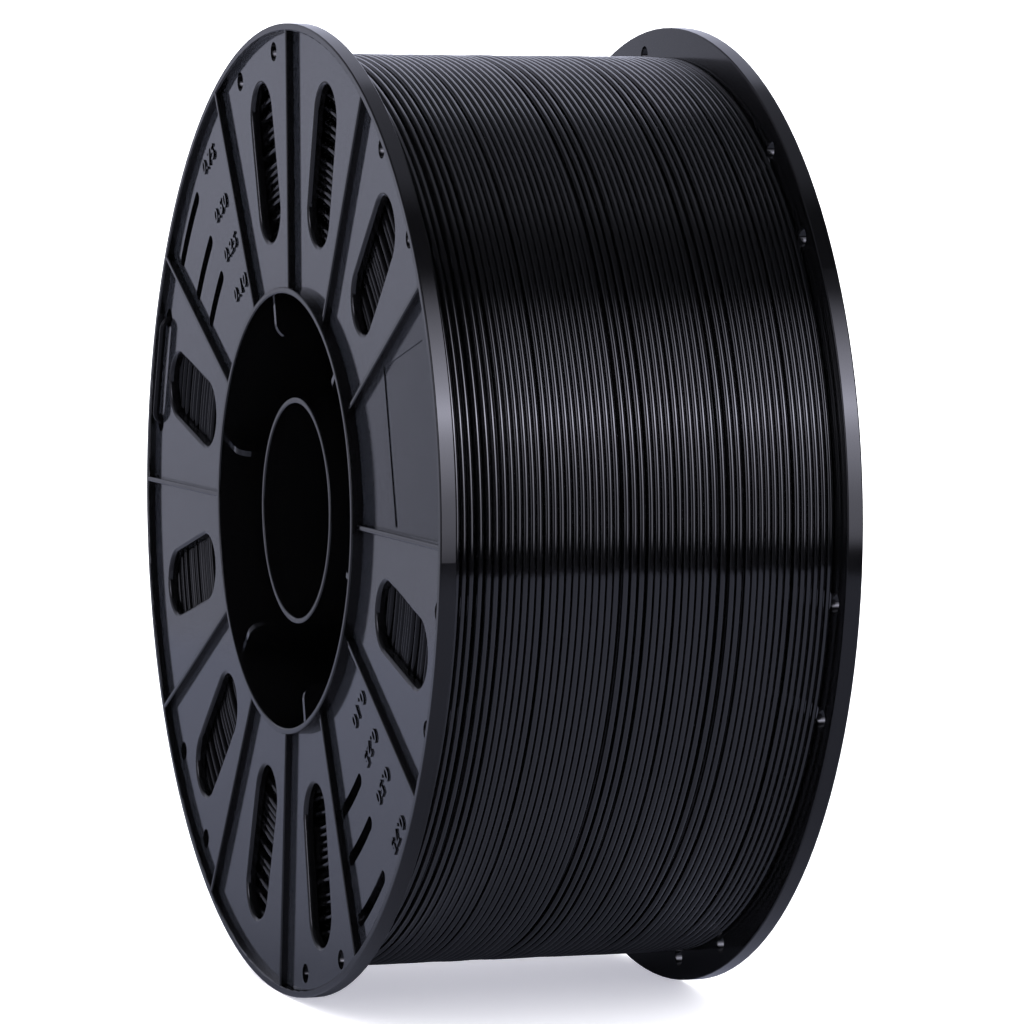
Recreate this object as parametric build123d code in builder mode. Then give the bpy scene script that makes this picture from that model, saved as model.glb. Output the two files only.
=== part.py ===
from build123d import *
import math
import os

# A filament spool: two equal flanges, a two-piece barrel between them, a bore tube
# through the middle, and the wound filament with its free end tucked into one flange.
# The spool axis is the Y axis, +Z is up, and the origin is the middle of the bore.
# The left flange, which carries the tucked end, is the one at -Y.

# Driving dimensions, in millimetres and degrees. Angles are those seen on the left
# flange's face, from +X towards +Z, before the spool's own rest_turn is added.
spool_diameter = 250.0
spool_width = 108.9
rest_turn = 1.6  # how far the spool has rolled from rib-on-the-level

rim_width = 4.2
rim_wall = 2.0
web_step = 1.95  # depth of the web's face below the rim's front edge, at the rim
dish = 1.05  # how much deeper the web lies at the collar
rib_count = 12
rib_wall = 1.4
rib_drop = 1.15  # how far a rib's top falls from the rim to the collar

collar_bore_radius = 55.9
collar_wall = 1.6
collar_length = 30.0
fin_count = 6
fin_first = 45.0
fin_inner_radius = 45.3
fin_wall = 1.5
fin_setback = 2.0
fin_corner = 4.0

slot_sectors = [45, 75, 105, 165, 195, 225, 255, 285, 345]
slot_width = 17.0
slot_length = 41.5
slot_centre_radius = 92.1

gauge_sectors = [142.4, 307.1]
gauge_radii = [85.3, 98.5, 115.0]
gauge_span = 12.4
gauge_width = 3.7

hole_pair_count = 6
hole_pair_first = 45.0
hole_pair_half_angle = 7.3
hole_pair_radius = 118.8
hole_radius = 2.5

label_sector = 15.0
label_inner = 81.6
label_length = 31.7
label_width = 40.0
label_depth = 0.22

flip_angle = 15.0  # the right flange is the same moulding turned over about this line

barrel_wall = 2.5
hub_web_wall = 3.0
hub_rim_wall = 2.0
hub_rim_half = 8.0
hub_boss_wall = 3.0
hub_boss_half = 10.0
hub_rib_wall = 2.0

bore_radius = 27.6
bore_wall = 1.6
bore_tube_setback = 3.6

filament_diameter = 1.75
turn_pitch = 1.757
turn_count = 57
turn_crest = 0.9  # width of the top of each turn's ridge
winding_radius = 117.5
side_play = 0.05

tail_depth = 0.4  # depth of the loose end's centre line outside the web
tail_bend = 3.2
tail_inside = 8.2  # depth at which the loose end leaves the winding for the hole
tail_stub_depth = 12.0  # depth at which the loose end stops, back over the winding
tail_step_angle = 7.0
tail_clearance = 0.3

edge_round = 0.4
slot_round = 1.0
rib_round = 0.4

# Worked-out sizes
rim_radius = spool_diameter / 2
rim_inner = rim_radius - rim_wall
half_width = spool_width / 2
collar_radius = collar_bore_radius + collar_wall
web_span = rim_inner - collar_radius
web_back = rim_width + dish
web_wall = rim_width - web_step
barrel_radius = collar_radius + barrel_wall
bore_tube_radius = bore_radius + bore_wall
bore_tube_half = half_width - bore_tube_setback
filament_radius = filament_diameter / 2
outer_turn_radius = winding_radius - filament_radius
outer_layer_base = outer_turn_radius - filament_radius
layer_edge = turn_count / 2 * turn_pitch
label_outer = label_inner + label_length
fin_root_radius = collar_bore_radius + collar_wall / 2
hub_boss_radius = bore_tube_radius + hub_boss_wall
hub_rib_length = collar_radius - hub_rim_wall / 2 - (bore_tube_radius + hub_boss_wall / 2)
hub_rib_centre = (collar_radius - hub_rim_wall / 2 + bore_tube_radius + hub_boss_wall / 2) / 2
tail_lift_radius = winding_radius + filament_radius + tail_clearance
tail_upper = hole_pair_first + 2 * 360 / hole_pair_count - hole_pair_half_angle
tail_lower = tail_upper + 2 * hole_pair_half_angle
tail_step_half = math.radians(tail_step_angle / 2)
tail_long_bend = 0.45 * 2 * tail_lift_radius * math.sin(tail_step_half) / math.tan(tail_step_half)
rib_start_radius = collar_radius - edge_round
rib_run = rim_inner + edge_round - rib_start_radius
rib_length = math.hypot(rib_run, rib_drop)
rib_height = web_step + web_wall / 2
flip_turn = math.radians(flip_angle + rest_turn)
flip_axis = Axis((0, 0, 0), (math.cos(flip_turn), 0, math.sin(flip_turn)))


def at(depth):
    """Y of a depth below the left flange's front plane."""
    return depth - half_width


def web_face(radius):
    """Depth of the web's face at a radius."""
    return web_step + dish * (rim_inner - radius) / web_span


def web_rear(radius):
    """Depth of the web's back at a radius."""
    return rim_width + dish * (rim_radius - radius) / (rim_radius - collar_radius)


def face_plane(depth):
    """Plane at a depth in the left flange, seen from outside: X to the right, Z up."""
    return Plane.XZ.offset(half_width - depth)


def radial_plane(angle):
    """Plane through the spool axis: local x runs outwards at the angle, local y along +Y."""
    turn = math.radians(angle + rest_turn)
    outward = (math.cos(turn), 0, math.sin(turn))
    across = (-math.sin(turn), 0, math.cos(turn))
    return Plane(origin=(0, 0, 0), x_dir=outward, z_dir=across)


def rib_plane(angle):
    """Plane across a rib's root at the collar: local x along the web, local y out of the face."""
    turn = math.radians(angle + rest_turn)
    start = (rib_start_radius * math.cos(turn), at(rib_drop), rib_start_radius * math.sin(turn))
    along = (rib_run * math.cos(turn), -rib_drop, rib_run * math.sin(turn))
    return Plane(origin=start, x_dir=(-math.sin(turn), 0, math.cos(turn)), z_dir=along)


def tail_point(radius, angle, depth):
    """Point on the loose end's route at a radius, an angle and a depth."""
    turn = math.radians(angle + rest_turn)
    return (radius * math.cos(turn), at(depth), radius * math.sin(turn))


os.makedirs("parts", exist_ok=True)

# Centre lines of the arc windows
gauge_lines = []
for sector in gauge_sectors:
    for radius in gauge_radii:
        end_angle = math.degrees(gauge_width / 2 / radius)
        start_angle = sector + rest_turn - gauge_span / 2 + end_angle
        gauge_lines.append(CenterArc((0, 0), radius, start_angle, gauge_span - 2 * end_angle))

# One flange: a rim, a dished web with ribs, a hub collar with fins inside it, radial
# slots, arc windows that gauge what is left, and pairs of holes for the loose end.
with BuildPart() as left_flange:
    with BuildSketch(Plane.XY) as flange_section:
        with BuildLine():
            Polyline(
                (rim_radius, at(0)),
                (rim_radius, at(rim_width)),
                (collar_radius, at(web_back)),
                (collar_radius, at(collar_length)),
                (collar_bore_radius, at(collar_length)),
                (collar_bore_radius, at(0)),
                (collar_radius, at(0)),
                (collar_radius, at(web_face(collar_radius))),
                (rim_inner, at(web_step)),
                (rim_inner, at(0)),
                close=True,
            )
        make_face()
        front_corners = flange_section.vertices().group_by(Axis.Y)[0]
        fillet(front_corners, edge_round)
        rim_back_corner = flange_section.vertices().group_by(Axis.X)[-1].sort_by(Axis.Y)[-1]
        fillet(rim_back_corner, edge_round)
    revolve(axis=Axis.Y)

    # Ribs, each a bar with a rounded top that falls from the rim to the collar
    for number in range(rib_count):
        with BuildSketch(rib_plane(number * 360 / rib_count)) as rib_section:
            Rectangle(rib_wall, rib_height, align=(Align.CENTER, Align.MAX))
            fillet(rib_section.vertices().group_by(Axis.Y)[-1], rib_round)
        extrude(amount=rib_length)

    # Slots for the hand and the air, radial in nine of the twelve sectors
    with BuildSketch(face_plane(web_back + 1)):
        for sector in slot_sectors:
            with PolarLocations(slot_centre_radius, 1, start_angle=sector + rest_turn):
                SlotOverall(slot_length, slot_width)
    extrude(amount=web_back + 1, mode=Mode.SUBTRACT)
    cut_edges = left_flange.edges(Select.LAST)
    slot_edges = cut_edges.filter_by_position(Axis.Y, at(web_step), at(web_face(collar_radius)))
    fillet(slot_edges, slot_round)

    # Arc windows at three fill levels
    with BuildSketch(face_plane(web_back + 1)):
        for centre_line in gauge_lines:
            SlotArc(centre_line, gauge_width)
    extrude(amount=web_back + 1, mode=Mode.SUBTRACT)

    # Pairs of small holes at the rim, to hold the loose end of the filament
    with BuildSketch(face_plane(web_back + 1)):
        for side in (-1, 1):
            first = hole_pair_first + side * hole_pair_half_angle + rest_turn
            with PolarLocations(hole_pair_radius, hole_pair_count, start_angle=first):
                Circle(hole_radius)
    extrude(amount=web_back + 1, mode=Mode.SUBTRACT)

    # Shallow pocket for a label, its floor parallel to the web's sloping face
    with BuildSketch(radial_plane(label_sector)):
        with BuildLine():
            Polyline(
                (label_inner, at(web_face(label_inner) + label_depth)),
                (label_inner, at(0)),
                (label_outer, at(0)),
                (label_outer, at(web_face(label_outer) + label_depth)),
                close=True,
            )
        make_face()
    extrude(amount=label_width / 2, both=True, mode=Mode.SUBTRACT)

    # Fins along the inside of the collar, each with a rounded outer corner
    for number in range(fin_count):
        with BuildSketch(radial_plane(fin_first + number * 360 / fin_count)) as fin_profile:
            with BuildLine():
                Polyline(
                    (fin_root_radius, at(fin_setback)),
                    (fin_inner_radius, at(fin_setback)),
                    (fin_inner_radius, at(collar_length)),
                    (fin_root_radius, at(collar_length)),
                    close=True,
                )
            make_face()
            fillet(fin_profile.vertices().group_by(Axis.X)[0].sort_by(Axis.Y)[0], fin_corner)
        extrude(amount=fin_wall / 2, both=True)

left_flange.part.label = "left_flange"
export_step(left_flange.part, "parts/left_flange.step")

# The right flange: the same moulding turned over about a line across its face
with BuildPart() as right_flange:
    add(left_flange.part.rotate(flip_axis, 180))

right_flange.part.label = "right_flange"
export_step(right_flange.part, "parts/right_flange.step")

# Barrel halves: sleeves over the flanges' collars that meet in the middle, on the hub's rim
with BuildPart() as left_barrel:
    with BuildSketch(Plane.XY):
        with BuildLine():
            Polyline(
                (barrel_radius, at(web_back)),
                (barrel_radius, 0),
                (collar_radius, 0),
                (collar_radius, at(web_back)),
                close=True,
            )
        make_face()
    revolve(axis=Axis.Y)

left_barrel.part.label = "left_barrel"
export_step(left_barrel.part, "parts/left_barrel.step")

with BuildPart() as right_barrel:
    add(left_barrel.part.rotate(flip_axis, 180))

right_barrel.part.label = "right_barrel"
export_step(right_barrel.part, "parts/right_barrel.step")

# Hub: one moulding in the middle of the barrel, with a rim inside both sleeves, a web,
# a boss round the bore tube, and ribs on both sides of the web
with BuildPart() as hub:
    with BuildSketch(Plane.XY):
        with BuildLine():
            Polyline(
                (collar_radius, -hub_rim_half),
                (collar_radius, hub_rim_half),
                (collar_radius - hub_rim_wall, hub_rim_half),
                (collar_radius - hub_rim_wall, hub_web_wall / 2),
                (hub_boss_radius, hub_web_wall / 2),
                (hub_boss_radius, hub_boss_half),
                (bore_tube_radius, hub_boss_half),
                (bore_tube_radius, -hub_boss_half),
                (hub_boss_radius, -hub_boss_half),
                (hub_boss_radius, -hub_web_wall / 2),
                (collar_radius - hub_rim_wall, -hub_web_wall / 2),
                (collar_radius - hub_rim_wall, -hub_rim_half),
                close=True,
            )
        make_face()
    revolve(axis=Axis.Y)
    with BuildSketch(Plane.XZ.offset(-hub_rim_half)):
        with PolarLocations(hub_rib_centre, fin_count, start_angle=fin_first + rest_turn):
            Rectangle(hub_rib_length, hub_rib_wall)
    extrude(amount=2 * hub_rim_half)

hub.part.label = "hub"
export_step(hub.part, "parts/hub.step")

# Bore tube: pressed through the hub's boss, with both ends rounded
with BuildPart() as bore_tube:
    with BuildSketch(Plane.XY) as tube_section:
        with BuildLine():
            Polyline(
                (bore_radius, -bore_tube_half),
                (bore_tube_radius, -bore_tube_half),
                (bore_tube_radius, bore_tube_half),
                (bore_radius, bore_tube_half),
                close=True,
            )
        make_face()
        fillet(tube_section.vertices().group_by(Axis.Y)[0], edge_round)
        fillet(tube_section.vertices().group_by(Axis.Y)[-1], edge_round)
    revolve(axis=Axis.Y)

bore_tube.part.label = "bore_tube"
export_step(bore_tube.part, "parts/bore_tube.step")

# All the filament under the outer layer, as one wound pack between the flanges
with BuildPart() as inner_layers:
    with BuildSketch(Plane.XY):
        with BuildLine():
            Polyline(
                (barrel_radius, at(web_rear(barrel_radius) + side_play)),
                (outer_layer_base, at(web_rear(outer_layer_base) + side_play)),
                (outer_layer_base, -at(web_rear(outer_layer_base) + side_play)),
                (barrel_radius, -at(web_rear(barrel_radius) + side_play)),
                close=True,
            )
        make_face()
    revolve(axis=Axis.Y)

inner_layers.part.label = "filament_inner_layers"
export_step(inner_layers.part, "parts/filament_inner_layers.step")

# The outer layer: one turn beside the next, as a ridged skin on the pack
ridge_points = []
for turn in range(turn_count):
    y = (turn - (turn_count - 1) / 2) * turn_pitch
    ridge_points.append((outer_turn_radius, y - turn_pitch / 2))
    ridge_points.append((winding_radius, y - turn_crest / 2))
    ridge_points.append((winding_radius, y + turn_crest / 2))

with BuildPart() as outer_layer:
    with BuildSketch(Plane.XY):
        with BuildLine():
            Polyline(
                *ridge_points,
                (outer_turn_radius, layer_edge),
                (outer_layer_base, layer_edge),
                (outer_layer_base, -layer_edge),
                close=True,
            )
        make_face()
    revolve(axis=Axis.Y)

outer_layer.part.label = "filament_outer_layer"
export_step(outer_layer.part, "parts/filament_outer_layer.step")

# The loose end: it comes off the outer layer, goes out through one hole of a pair,
# runs along the face to the other and goes back in
with BuildPart() as filament_tail:
    with BuildLine() as tail_route:
        FilletPolyline(
            tail_point(tail_lift_radius, tail_upper - 2 * tail_step_angle, tail_inside),
            tail_point(tail_lift_radius, tail_upper - tail_step_angle, tail_inside),
            tail_point(hole_pair_radius, tail_upper, tail_inside),
            tail_point(hole_pair_radius, tail_upper, tail_depth),
            tail_point(hole_pair_radius, tail_lower, tail_depth),
            tail_point(hole_pair_radius, tail_lower, tail_stub_depth),
            radius=[tail_long_bend, tail_bend, tail_bend, tail_bend],
        )
    with BuildSketch(Plane(tail_route.line @ 0, z_dir=tail_route.line % 0)):
        Circle(filament_radius)
    sweep()

filament_tail.part.label = "filament_tail"
export_step(filament_tail.part, "parts/filament_tail.step")
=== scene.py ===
import math
import random

import bpy
from mathutils import Matrix, Vector, noise


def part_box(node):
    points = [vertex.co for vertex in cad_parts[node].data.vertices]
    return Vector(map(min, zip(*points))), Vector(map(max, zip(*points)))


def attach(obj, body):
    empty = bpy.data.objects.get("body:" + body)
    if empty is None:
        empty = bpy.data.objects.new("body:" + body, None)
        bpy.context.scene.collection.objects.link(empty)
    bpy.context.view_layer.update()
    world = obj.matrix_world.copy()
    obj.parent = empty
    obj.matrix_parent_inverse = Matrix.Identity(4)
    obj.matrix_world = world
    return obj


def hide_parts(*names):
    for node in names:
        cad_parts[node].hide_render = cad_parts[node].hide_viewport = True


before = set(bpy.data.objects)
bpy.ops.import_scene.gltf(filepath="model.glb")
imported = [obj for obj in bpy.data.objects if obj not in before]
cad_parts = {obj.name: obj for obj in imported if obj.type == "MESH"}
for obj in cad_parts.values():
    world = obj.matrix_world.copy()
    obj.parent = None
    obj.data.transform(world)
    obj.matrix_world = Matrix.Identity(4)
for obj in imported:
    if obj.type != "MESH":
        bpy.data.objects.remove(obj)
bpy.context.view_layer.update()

MM = 0.001
TAU = 2 * math.pi

# Sizes read from the frame: the spool axis is Y, the left flange's face is at -Y
FLANGE_LOW, FLANGE_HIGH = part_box("left_flange")
RIM_RADIUS = FLANGE_HIGH.x
FACE_Y = FLANGE_LOW.y
FLOOR_Z = -RIM_RADIUS
LAYER_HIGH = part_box("filament_outer_layer")[1]
WINDING_RADIUS = LAYER_HIGH.x
LAYER_HALF = LAYER_HIGH.y
PACK_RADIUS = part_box("filament_inner_layers")[1].x
BARREL_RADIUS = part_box("left_barrel")[1].x

# The part's own dimensions, as the design has them
REST_TURN = 1.6
RIM_WIDTH = 4.2 * MM
RIM_INNER = RIM_RADIUS - 2.0 * MM
COLLAR_RADIUS = 57.5 * MM
WEB_STEP = 1.95 * MM
DISH = 1.05 * MM
STRAND_RADIUS = 0.875 * MM
PITCH = 1.757 * MM

# The field for a label on the left flange: between which angles, and how its face leans with radius
LABEL_FIELD = (2.0, 30.5)
LABEL_CURVE = 0.32

# Finishes
GRAIN_SCALE = 2600.0
GRAIN_DEPTH = 0.01 * MM
SMOOTH_PLASTIC = (0.0014, 0.0014, 0.0017, 1)
SPARK_DARK = (0.0035, 0.004, 0.006, 1)
SPARK_LIGHT = (0.0135, 0.0145, 0.019, 1)
DEEP_BLACK = (0.0013, 0.0013, 0.0016, 1)

# The camera: where it stands round the spool, in degrees, and how it is aimed
VIEW_AZIMUTH = 70.18
VIEW_ELEVATION = 5.725
VIEW_ROLL = 1.05
VIEW_DISTANCE = 1.517
VIEW_AIM_RIGHT = 7.9 * MM
VIEW_AIM_UP = -1.23 * MM
VIEW_LENS = 204.9

# The studio: azimuths and heights in degrees, brightness against the white backdrop
LIGHT_FRONT = 110.0
TABLE_RADIUS = 0.8
# The floor as reflections see it: a darker, bluish copy of the floor, painted shade
FLOOR_REFLECTED_SHADE = (0.19, 0.2, 0.265)
FLOOR_GLOW = (0.42, 0.42, 0.48, 1)
FILL = 2.2
CEILING_LEVEL = 0.42
ROOM_COLOUR = (0.93, 0.955, 1.18, 1)
SOFTBOX_COLOUR = (0.94, 0.94, 1.13, 1)
# Each softbox: first and last azimuth, how soft its edges are, and its stops of height and brightness
RIGHT_BOX = [(-5, 0.0), (-2, 2.0), (7, 2.4), (20, 5.4), (26, 9.8),
             (32, 6.2), (42, 3.4), (50, 1.7), (56, 0.1), (60, 0.0)]
LEFT_BOX = [(-5, 0.0), (-1, 1.1), (7, 1.3), (16, 3.2), (24, 2.2), (34, 1.1), (37, 0.0)]
SOFTBOXES = [(84, 130, 10, RIGHT_BOX), (4, 36, 8, LEFT_BOX)]
SOFTBOX_LOWEST = -10.0
SOFTBOX_HIGHEST = 70.0
SOFTBOX_FULL = 10.0


def web_face(radius):
    """Y of the left flange's web face at a radius."""
    return FACE_Y + WEB_STEP + DISH * (RIM_INNER - radius) / (RIM_INNER - COLLAR_RADIUS)


def web_back(radius):
    """Y of the left flange's inner side at a radius."""
    return FACE_Y + RIM_WIDTH + DISH * (RIM_RADIUS - radius) / (RIM_RADIUS - COLLAR_RADIUS)


class Nodes:
    """Makes and wires the nodes of a material or of the world."""

    def __init__(self, owner):
        if isinstance(owner, str):
            owner = bpy.data.materials.new(owner)
            owner.use_nodes = True
        self.material = owner
        self.tree = owner.node_tree
        self.shader = self.tree.nodes.get("Principled BSDF")

    def new(self, kind, inputs=(), **settings):
        node = self.tree.nodes.new("ShaderNode" + kind)
        for key, value in settings.items():
            setattr(node, key, value)
        for key, value in dict(inputs).items():
            if isinstance(value, bpy.types.NodeSocket):
                self.tree.links.new(value, node.inputs[key])
            else:
                node.inputs[key].default_value = value
        return node

    def math(self, operation, a, b=0.0):
        return self.new("Math", {0: a, 1: b}, operation=operation).outputs[0]

    def degrees(self, operation, a, b=0.0):
        return self.math("DEGREES", self.math(operation, a, b))

    def ramp(self, value, low, high, out_low, out_high, kind="LINEAR"):
        keys = {"Value": value, "From Min": low, "From Max": high, "To Min": out_low, "To Max": out_high}
        return self.new("MapRange", keys, interpolation_type=kind).outputs["Result"]

    def smooth(self, value, low, high, out_low, out_high):
        return self.ramp(value, low, high, out_low, out_high, "SMOOTHSTEP")

    def noise(self, vector, scale, detail=2.0):
        return self.new("TexNoise", {"Vector": vector, "Scale": scale, "Detail": detail}).outputs["Fac"]

    def link(self, socket, name):
        self.tree.links.new(socket, self.shader.inputs[name])


# ---------------------------------------------------------------- camera, stage and light

def from_azimuth(azimuth, elevation):
    """Unit vector towards a direction, with azimuth 0 at -Y and 90 at +X."""
    a = math.radians(azimuth)
    e = math.radians(elevation)
    return Vector((math.cos(e) * math.sin(a), -math.cos(e) * math.cos(a), math.sin(e)))


def look_matrix(back, roll):
    """Camera axes from the direction it looks back along, rolled about it."""
    level = Vector((0, 0, 1)).cross(back).normalized()
    above = back.cross(level)
    r = math.radians(roll)
    right = level * math.cos(r) + above * math.sin(r)
    return Matrix((right, back.cross(right), back)).transposed()


def make_camera():
    data = bpy.data.cameras.new("camera")
    data.lens = VIEW_LENS
    data.sensor_width = 36.0
    data.clip_start = 0.05
    camera = bpy.data.objects.new("camera", data)
    bpy.context.scene.collection.objects.link(camera)
    axes = look_matrix(from_azimuth(VIEW_AZIMUTH, VIEW_ELEVATION), VIEW_ROLL)
    aim = axes.col[0] * VIEW_AIM_RIGHT + axes.col[1] * VIEW_AIM_UP
    camera.matrix_world = Matrix.Translation(aim + axes.col[2] * VIEW_DISTANCE) @ axes.to_4x4()
    bpy.context.scene.camera = camera


def make_floor():
    """A large pale floor. Reflections see a darker copy of it, painted shade, as a round table with the
    studio beyond its edge.
    """
    size = 30.0
    corners = [Vector((x * size, y * size, FLOOR_Z)) for x, y in ((-1, -1), (1, -1), (1, 1), (-1, 1))]
    mesh = bpy.data.meshes.new("floor")
    mesh.from_pydata(corners, [], [(0, 1, 2, 3)])
    floor = bpy.data.objects.new("floor", mesh)
    bpy.context.scene.collection.objects.link(floor)
    n = Nodes("floor_white")
    n.shader.inputs["Base Color"].default_value = (0.9, 0.9, 0.905, 1)
    n.shader.inputs["Emission Color"].default_value = FLOOR_GLOW
    n.shader.inputs["Emission Strength"].default_value = 1.0
    n.shader.inputs["Roughness"].default_value = 0.8
    n.shader.inputs["Specular IOR Level"].default_value = 0.0
    glossy = n.new("LightPath").outputs["Is Glossy Ray"]
    position = n.new("NewGeometry").outputs["Position"]
    away = n.new("VectorMath", {0: position}, operation="LENGTH").outputs["Value"]
    beyond = n.ramp(away, TABLE_RADIUS - 0.02, TABLE_RADIUS + 0.02, 0.0, 1.0)
    # Painted shade and painted light on the table as reflections see it: darker behind the spool and
    # lighter under it
    aside = n.new("SeparateXYZ", {0: position}).outputs["X"]
    behind = n.ramp(aside, -0.75, -0.25, 1.07, 0.82)
    under = n.math("SUBTRACT", n.ramp(aside, -0.02, 0.04, 0.0, 0.6), n.ramp(aside, 0.05, 0.13, 0.0, 0.42))
    level = n.math("ADD", behind, under)
    reflected_shade_tone = n.new("VectorMath", {0: FLOOR_REFLECTED_SHADE, "Scale": level}, operation="SCALE").outputs["Vector"]
    reflected = n.new("BsdfDiffuse", {"Color": reflected_shade_tone})
    clear = n.new("BsdfTransparent")
    seen = n.new("MixShader", {0: glossy, 1: n.shader.outputs[0], 2: reflected.outputs[0]})
    through = n.math("MULTIPLY", glossy, beyond)
    table = n.new("MixShader", {0: through, 1: seen.outputs[0], 2: clear.outputs[0]})
    n.tree.links.new(table.outputs[0], n.tree.nodes["Material Output"].inputs["Surface"])
    mesh.materials.append(n.material)


def room_light(n, x, y, azimuth, height):
    """How bright reflections see the room: a lit backdrop behind, a dim ceiling and a dark front."""
    front = from_azimuth(LIGHT_FRONT, 0)
    ahead = n.math("ADD", n.math("MULTIPLY", x, front.x), n.math("MULTIPLY", y, front.y))

    # The ceiling fades towards the front and the right, and stops above the lit backdrop
    ceiling = n.smooth(ahead, 0.1, 0.33, CEILING_LEVEL, 0.04)
    ceiling = n.math("MULTIPLY", ceiling, n.smooth(y, 0.31, 0.45, 1.0, 0.45))
    beside = n.smooth(azimuth, -66.0, -60.0, 0.0, 1.0)
    aloft = n.math("MAXIMUM", beside, n.smooth(height, 3.0, 12.0, 0.0, 1.0))
    ceiling = n.math("MULTIPLY", ceiling, aloft)

    # The backdrop: uneven from side to side, darker low down, and dark where it faces the left flange
    lit = n.math("ADD", n.ramp(azimuth, -76.5, -73.6, 0.3, 0.6), n.ramp(azimuth, -73.6, -71.5, 0.0, 0.07))
    lit = n.math("MULTIPLY", lit, n.ramp(azimuth, -70.5, -69.0, 1.0, 0.66))
    lit = n.math("MAXIMUM", lit, n.ramp(azimuth, -100.0, -85.0, 0.85, 0.0))
    lit = n.math("MULTIPLY", lit, n.ramp(height, -9.5, -2.5, 0.58, 1.08))
    lit = n.math("MULTIPLY", lit, n.smooth(y, -0.72, -0.5, 0.15, 1.0))
    backdrop = n.math("MULTIPLY", lit, n.smooth(ahead, -0.45, -0.28, 1.0, 0.0))
    total = n.math("MAXIMUM", ceiling, backdrop)

    # Darker low in front, high on the left, and far round to the right
    low = n.smooth(height, -3.0, 0.0, 1.0, 0.0)
    low_front = n.math("MULTIPLY", low, n.smooth(ahead, -0.2, 0.1, 0.0, 1.0))
    total = n.math("MULTIPLY", total, n.ramp(low_front, 0.0, 1.0, 1.0, 0.4))
    high = n.smooth(height, 25.0, 45.0, 0.0, 1.0)
    high_left = n.math("MULTIPLY", high, n.smooth(y, -0.15, 0.15, 0.85, 0.0))
    total = n.math("MULTIPLY", total, n.math("SUBTRACT", 1.0, high_left))
    return n.math("MULTIPLY", total, n.smooth(y, 0.65, 0.85, 1.0, 0.2))


def softbox_light(n, azimuth, height):
    """How bright reflections see the softboxes: by height, within a span of azimuth."""
    lamps = 0.0
    span = SOFTBOX_HIGHEST - SOFTBOX_LOWEST
    for low, high, edge, stops in SOFTBOXES:
        entering = n.smooth(azimuth, low, low + edge, 0.0, 1.0)
        across = n.math("MULTIPLY", entering, n.smooth(azimuth, high - edge, high, 1.0, 0.0))
        curve = n.new("ValToRGB", {0: n.ramp(height, SOFTBOX_LOWEST, SOFTBOX_HIGHEST, 0.0, 1.0)})
        curve.color_ramp.interpolation = "LINEAR"
        points = curve.color_ramp.elements
        while len(points) < len(stops):
            points.new(0.5)
        for point, (angle, level) in zip(points, stops):
            grey = level / SOFTBOX_FULL
            point.position = (angle - SOFTBOX_LOWEST) / span
            point.color = (grey, grey, grey, 1)
        box = n.math("MULTIPLY", n.math("MULTIPLY", across, curve.outputs[0]), SOFTBOX_FULL)
        lamps = n.math("ADD", lamps, box)
    return lamps


def make_world():
    """Even white light, and for reflections a studio: a lit backdrop, a dark front, two softboxes."""
    world = bpy.data.worlds.new("studio")
    bpy.context.scene.world = world
    world.use_nodes = True
    n = Nodes(world)
    way = n.new("SeparateXYZ", {0: n.new("TexCoord").outputs["Generated"]})
    x, y, z = (way.outputs[k] for k in ("X", "Y", "Z"))
    azimuth = n.degrees("ARCTAN2", x, n.math("MULTIPLY", y, -1.0))
    height = n.degrees("ARCSINE", z)
    total = room_light(n, x, y, azimuth, height)
    room = n.new("Background", {"Color": ROOM_COLOUR, "Strength": total})
    lamps = softbox_light(n, azimuth, height)
    softboxes = n.new("Background", {"Color": SOFTBOX_COLOUR, "Strength": lamps})
    studio = n.new("AddShader", {0: room.outputs[0], 1: softboxes.outputs[0]})
    fill = n.new("Background", {"Color": (1, 1, 1, 1), "Strength": FILL})
    glossy = n.new("LightPath").outputs["Is Glossy Ray"]
    mix = n.new("MixShader", {0: glossy, 1: fill.outputs[0], 2: studio.outputs[0]})
    n.tree.links.new(mix.outputs[0], n.tree.nodes["World Output"].inputs["Surface"])
    world.cycles.sampling_method = "NONE"


# ---------------------------------------------------------------- materials

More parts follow.
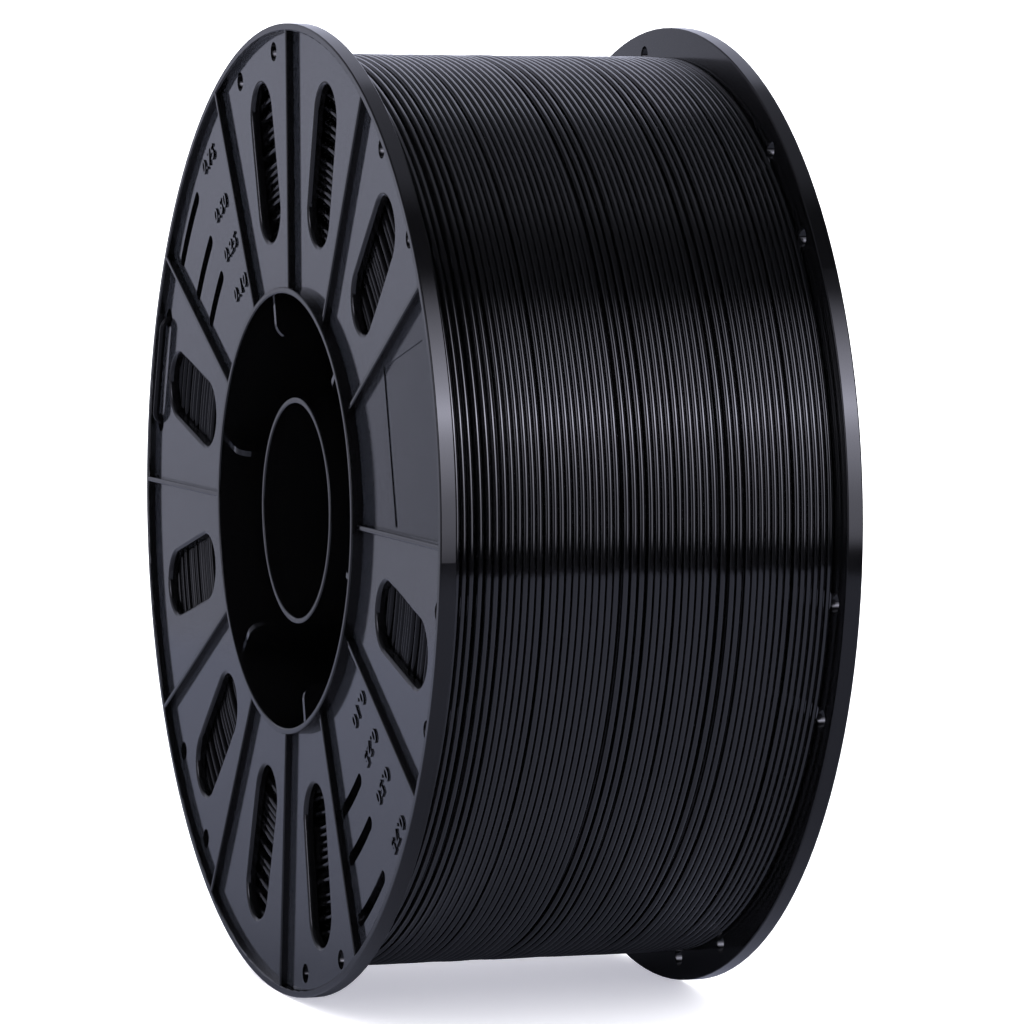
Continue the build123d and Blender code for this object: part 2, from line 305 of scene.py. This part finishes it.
def make_flange_material():
    """Black moulded plastic: spark-textured satin on the web, smooth and glossy on walls and edges."""
    n = Nodes("moulded_black")
    coord = n.new("TexCoord").outputs["Object"]
    place = n.new("SeparateXYZ", {0: coord})
    facing = n.new("SeparateXYZ", {0: n.new("TexCoord").outputs["Normal"]})
    flat = n.ramp(n.math("ABSOLUTE", facing.outputs["Y"]), 0.985, 0.997, 0.0, 1.0)
    depth = n.math("SUBTRACT", -FACE_Y, n.math("ABSOLUTE", place.outputs["Y"]))
    below = n.ramp(depth, WEB_STEP - 0.25 * MM, WEB_STEP - 0.1 * MM, 0.0, 1.0)
    above = n.ramp(depth, RIM_WIDTH - 0.45 * MM, RIM_WIDTH - 0.35 * MM, 1.0, 0.0)
    web = n.math("MULTIPLY", flat, n.math("MULTIPLY", below, above))
    grain = n.noise(coord, GRAIN_SCALE, 2.0)
    speck = n.ramp(grain, 0.35, 0.65, 0.0, 1.0)
    spark = n.new("Mix", {0: speck, 6: SPARK_DARK, 7: SPARK_LIGHT}, data_type="RGBA")
    colour = n.new("Mix", {0: web, 6: SMOOTH_PLASTIC, 7: spark.outputs[2]}, data_type="RGBA")
    n.link(colour.outputs[2], "Base Color")
    n.shader.inputs["IOR"].default_value = 1.46
    blotch = n.noise(coord, 60.0, 3.0)
    rough_web = n.ramp(blotch, 0.3, 0.7, 0.05, 0.08)
    rough_wall = n.ramp(blotch, 0.3, 0.7, 0.1, 0.15)
    rough = n.new("Mix", {0: web, 2: rough_wall, 3: rough_web}, data_type="FLOAT").outputs[0]
    n.link(rough, "Roughness")
    # The field for a label leans a little more than the rest of the left web, in shading only
    turn = n.degrees("ARCTAN2", place.outputs["Z"], place.outputs["X"])
    field = n.math("MULTIPLY", n.ramp(turn, LABEL_FIELD[0], LABEL_FIELD[0] + 0.1, 0.0, 1.0),
                   n.ramp(turn, LABEL_FIELD[1] - 0.1, LABEL_FIELD[1], 1.0, 0.0))
    field = n.math("MULTIPLY", field, n.ramp(place.outputs["Y"], -MM, MM, 1.0, 0.0))
    across = n.new("CombineXYZ", {"X": place.outputs["X"], "Y": 0.0, "Z": place.outputs["Z"]})
    lean = n.math("MULTIPLY", n.math("MULTIPLY", field, web), -LABEL_CURVE)
    lean = n.new("VectorMath", {0: across.outputs[0], "Scale": lean}, operation="SCALE").outputs["Vector"]
    facing_now = n.new("NewGeometry").outputs["Normal"]
    leaning = n.new("VectorMath", {0: facing_now, 1: lean}, operation="ADD").outputs["Vector"]
    leaning = n.new("VectorMath", {0: leaning}, operation="NORMALIZE").outputs["Vector"]
    bump = n.new("Bump", {"Strength": web, "Distance": GRAIN_DEPTH, "Height": grain, "Normal": leaning})
    n.link(bump.outputs["Normal"], "Normal")
    return n.material


def make_core_material():
    """Smooth black plastic of the barrel, the hub and the bore tube."""
    n = Nodes("smooth_black")
    coord = n.new("TexCoord").outputs["Object"]
    n.shader.inputs["Base Color"].default_value = DEEP_BLACK
    n.shader.inputs["IOR"].default_value = 1.5
    blotch = n.noise(coord, 80.0, 3.0)
    n.link(n.ramp(blotch, 0.3, 0.7, 0.12, 0.2), "Roughness")
    bump = n.new("Bump", {"Strength": 0.05, "Distance": 0.1 * MM, "Height": n.noise(coord, 400.0)})
    n.link(bump.outputs["Normal"], "Normal")
    return n.material


def make_filament_material(name, ior):
    """Black extruded filament: smooth, semi-gloss, with slight dulling along its length."""
    n = Nodes(name)
    coord = n.new("TexCoord").outputs["Object"]
    n.shader.inputs["Base Color"].default_value = DEEP_BLACK
    n.shader.inputs["IOR"].default_value = ior
    dull = n.noise(coord, 90.0, 4.0)
    n.link(n.ramp(dull, 0.3, 0.7, 0.07, 0.1), "Roughness")
    bump = n.new("Bump", {"Strength": 0.04, "Distance": 0.1 * MM, "Height": n.noise(coord, 700.0)})
    n.link(bump.outputs["Normal"], "Normal")
    return n.material


# ---------------------------------------------------------------- the winding

def add_piece(name, vertices, faces, material, replaced):
    """A smooth piece of the winding that stands for a CAD node."""
    mesh = bpy.data.meshes.new(name)
    mesh.from_pydata(vertices, [], faces)
    mesh.materials.append(material)
    mesh.shade_smooth()
    piece = bpy.data.objects.new(name, mesh)
    bpy.context.scene.collection.objects.link(piece)
    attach(piece, "root")
    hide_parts(replaced)
    return piece


def at_angle(radius, y, angle):
    return Vector((radius * math.cos(angle), y, radius * math.sin(angle)))


def rise(value):
    """Smooth step from 0 to 1."""
    value = min(max(value, 0.0), 1.0)
    return value * value * (3 - 2 * value)


# Where the winder skipped: turns counted from the left, and how much each skip adds
SKIPS = [(3.2, 0.6), (4.6, 0.45), (6.1, 0.5), (23.5, 0.7), (24.9, 0.55), (26.3, 0.5),
         (36.2, 0.6), (37.6, 0.7), (39.4, 0.5), (46.5, 0.4), (12.4, 0.35), (30.8, 0.35)]
# Each turn runs level, then crosses to the next place at the back of the spool
CROSSOVER_START = 0.76
CROSSOVER_SPAN = 0.22
STEPS_A_TURN = 160
SECTION_ANGLES = [-100, -75, -50, -25, 0, 25, 50, 75, 100, 180]
TAIL_ANGLE = 158.9
# Layers of the pack: their spacing, how far the ends of some are set back, and how deep the gaps go
PACK_LAYER_PITCH = 1.9 * MM
PACK_SETBACKS = [0.0, 0.0, 0.1, 0.25, 1.2]
PACK_GAP = 1.8 * MM
PACK_ARC = [-90, -60, -30, 0, 30, 60, 90]
PACK_STEPS = 128
PACK_SEED = 11


def make_outer_turns(material):
    """One strand wound side by side across the spool, a little unevenly."""
    spare = sum(extra for start, extra in SKIPS) * MM
    room = 2 * LAYER_HALF - 2 * STRAND_RADIUS - spare
    turns = int(room / PITCH) + 1
    pitch = room / (turns - 1)
    first_y = -LAYER_HALF + STRAND_RADIUS
    steps = turns * STEPS_A_TURN
    sections = [math.radians(a) for a in SECTION_ANGLES]
    vertices = []
    faces = []
    for step in range(steps + 1):
        turn = step / STEPS_A_TURN
        angle = math.radians(TAIL_ANGLE + REST_TURN) - TAU * turn
        crossed = min(int(turn) + rise((turn % 1 - CROSSOVER_START) / CROSSOVER_SPAN), turns - 1)
        skipped = sum(extra * rise(turn - start) for start, extra in SKIPS) * MM
        edge = min(turn, turns - turn, 4.0) / 4.0
        around = Vector((math.cos(angle), math.sin(angle), turn / 7))
        wander = 0.22 * MM * noise.noise(around * 1.6) * edge
        lift = 0.16 * MM * (noise.noise(around * 2.3 + Vector((5, 0, 0))) - 0.4)
        y = first_y + crossed * pitch + skipped + wander
        radius = WINDING_RADIUS - STRAND_RADIUS - 0.05 * MM + min(lift, 0.0)
        for s in sections:
            out = radius + STRAND_RADIUS * math.cos(s)
            vertices.append(at_angle(out, y + STRAND_RADIUS * math.sin(s), angle))
    count = len(sections)
    for step in range(steps):
        for k in range(count):
            a = step * count + k
            b = step * count + (k + 1) % count
            faces.append((a, b, b + count, a + count))
    faces.append(tuple(reversed(range(count))))
    faces.append(tuple(steps * count + k for k in range(count)))
    return add_piece("filament_outer_turns", vertices, faces, material, "filament_outer_layer")


def make_inner_layers(material):
    """The pack under the outer layer: grooved outside, ridged on both sides where layers end."""
    rng = random.Random(PACK_SEED)
    depth = PACK_RADIUS - BARREL_RADIUS
    layers = int(depth / PACK_LAYER_PITCH)
    profile = []
    arc = [math.radians(a) for a in PACK_ARC]
    for side in (-1, 1):
        ridge = []
        for layer in range(layers):
            r = BARREL_RADIUS + (layer + 0.5) * depth / layers
            back = -web_back(r) - 0.1 * MM - STRAND_RADIUS - rng.choice(PACK_SETBACKS) * MM
            ridge.append((r - PACK_LAYER_PITCH / 2 - 0.01 * MM, back - PACK_GAP))
            for a in arc:
                ridge.append((r + STRAND_RADIUS * math.sin(a), back + STRAND_RADIUS * math.cos(a)))
            ridge.append((r + PACK_LAYER_PITCH / 2 - 0.02 * MM, back - PACK_GAP))
        if side < 0:
            profile += [(r, -y) for r, y in ridge]
            grooves = int(2 * (LAYER_HALF - 2.2 * MM) / PITCH)
            for g in range(grooves):
                middle = (g - (grooves - 1) / 2) * PITCH
                for a in arc[::2]:
                    out = PACK_RADIUS - STRAND_RADIUS * (1 - math.cos(a)) - 0.02 * MM
                    profile.append((out, middle + STRAND_RADIUS * math.sin(a)))
        else:
            profile += list(reversed(ridge))
    steps = PACK_STEPS
    count = len(profile)
    vertices = [at_angle(r, y, TAU * step / steps) for step in range(steps) for r, y in profile]
    faces = []
    for step in range(steps):
        for k in range(count):
            a = step * count + k
            b = step * count + (k + 1) % count
            c = ((step + 1) % steps) * count + (k + 1) % count
            d = ((step + 1) % steps) * count + k
            faces.append((a, d, c, b))
    return add_piece("filament_wound_pack", vertices, faces, material, "filament_inner_layers")


# ---------------------------------------------------------------- gauge numerals

# Beside each group of arc windows: angle of the group, and how far the baselines lean from it
NUMERAL_GROUPS = [(131.0, -10.0), (-37.5, -2.5)]
NUMERALS = [("0.75", 115.0), ("0.50", 98.5), ("0.25", 85.3), ("0.10", 72.0)]
NUMERAL_SIZE = 5.7 * MM
NUMERAL_HEIGHT = 0.45 * MM
NUMERAL_BOLD = 0.08 * MM


def make_numerals(material):
    """Raised numerals on the left flange's web, their tops outwards."""
    vertices = []
    faces = []
    outwards = Vector((0, -1, 0))
    for group, lean in NUMERAL_GROUPS:
        for body, radius in NUMERALS:
            text = bpy.data.curves.new("numeral", "FONT")
            text.body = body
            text.size = NUMERAL_SIZE
            text.space_character = 1.2
            text.offset = NUMERAL_BOLD
            text.align_x = "CENTER"
            text.align_y = "CENTER"
            text.extrude = NUMERAL_HEIGHT / 2
            text.resolution_u = 4
            letter = bpy.data.objects.new("numeral", text)
            shape = bpy.data.meshes.new_from_object(letter)
            middle = at_angle(radius * MM, web_face(radius * MM) - NUMERAL_HEIGHT / 2, math.radians(group))
            across = at_angle(1.0, 0.0, math.radians(group - 90 + lean))
            above = at_angle(1.0, 0.0, math.radians(group + lean))
            start = len(vertices)
            for v in shape.vertices:
                vertices.append(middle + across * v.co.x + above * v.co.y + outwards * v.co.z)
            faces += [[start + k for k in face.vertices] for face in shape.polygons]
            bpy.data.objects.remove(letter)
            bpy.data.curves.remove(text)
            bpy.data.meshes.remove(shape)
    mesh = bpy.data.meshes.new("gauge_numerals")
    mesh.from_pydata(vertices, [], faces)
    mesh.materials.append(material)
    piece = bpy.data.objects.new("gauge_numerals", mesh)
    bpy.context.scene.collection.objects.link(piece)
    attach(piece, "root")
    return piece


# ---------------------------------------------------------------- making it all

make_camera()
make_floor()
make_world()

flange_black = make_flange_material()
core_black = make_core_material()
filament_black = make_filament_material("filament_black", 1.6)
# The pack and the loose end get copies of the filament with weaker reflections, darker as if in shade:
# painted shade
pack_shaded_black = make_filament_material("filament_pack_black", 1.3)
tail_shaded_black = make_filament_material("filament_tail_black", 1.25)

for node, material in (
    ("left_flange", flange_black),
    ("right_flange", flange_black),
    ("left_barrel", core_black),
    ("right_barrel", core_black),
    ("hub", core_black),
    ("bore_tube", core_black),
    ("filament_tail", tail_shaded_black),
):
    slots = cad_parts[node].data.materials
    slots.clear()
    slots.append(material)

make_outer_turns(filament_black)
make_inner_layers(pack_shaded_black)
make_numerals(flange_black)

bpy.context.scene.view_settings.view_transform = "Standard"
